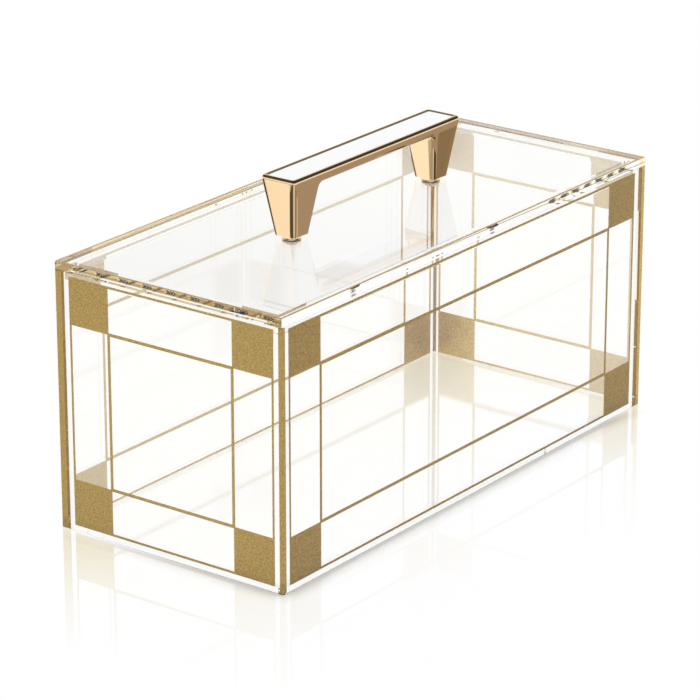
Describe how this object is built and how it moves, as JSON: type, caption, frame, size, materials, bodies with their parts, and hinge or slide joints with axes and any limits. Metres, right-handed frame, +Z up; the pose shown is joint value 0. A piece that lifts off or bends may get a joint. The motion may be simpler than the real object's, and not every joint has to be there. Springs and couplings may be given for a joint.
{
  "type": "wedding card box",
  "caption": "Clear sheet box for cards with gold border lines and corner squares printed inside its walls, and a lift-off lid carried by a gold bar handle with a white inlay.",
  "frame": {"origin": "centre of the box's underside, on the surface that it stands on", "axes": "+X along the box's length and its handle, -Y out of the front long wall, +Z up"},
  "size_m": [0.34, 0.1504, 0.1874],
  "materials": {
    "clear_sheet": "clear cast acrylic sheet, polished edges",
    "gold_ink": "metallic gold screen print",
    "gold_plate": "polished gold plating on a cast handle",
    "white_inlay": "gloss white inlay",
    "screw_steel": "bright steel"
  },
  "bodies": {
    "box": {"base_panel": "clear_sheet", "front_panel": "clear_sheet", "back_panel": "clear_sheet", "left_end_panel": "clear_sheet", "right_end_panel": "clear_sheet", "front_print": "gold_ink", "back_print": "gold_ink", "left_print": "gold_ink", "right_print": "gold_ink"},
    "lid": {"lid_plate": "clear_sheet", "front_lip": "clear_sheet", "back_lip": "clear_sheet", "left_lip": "clear_sheet", "right_lip": "clear_sheet", "handle_body": "gold_plate", "handle_inlay": "white_inlay", "left_collar": "gold_plate", "right_collar": "gold_plate", "left_screw": "screw_steel", "right_screw": "screw_steel"}
  },
  "joints": [
    {"name": "lid_lift", "type": "slide", "parent": "box", "child": "lid", "axis": [0, 0, 1], "range_m": [0, 0.15]}
  ]
}
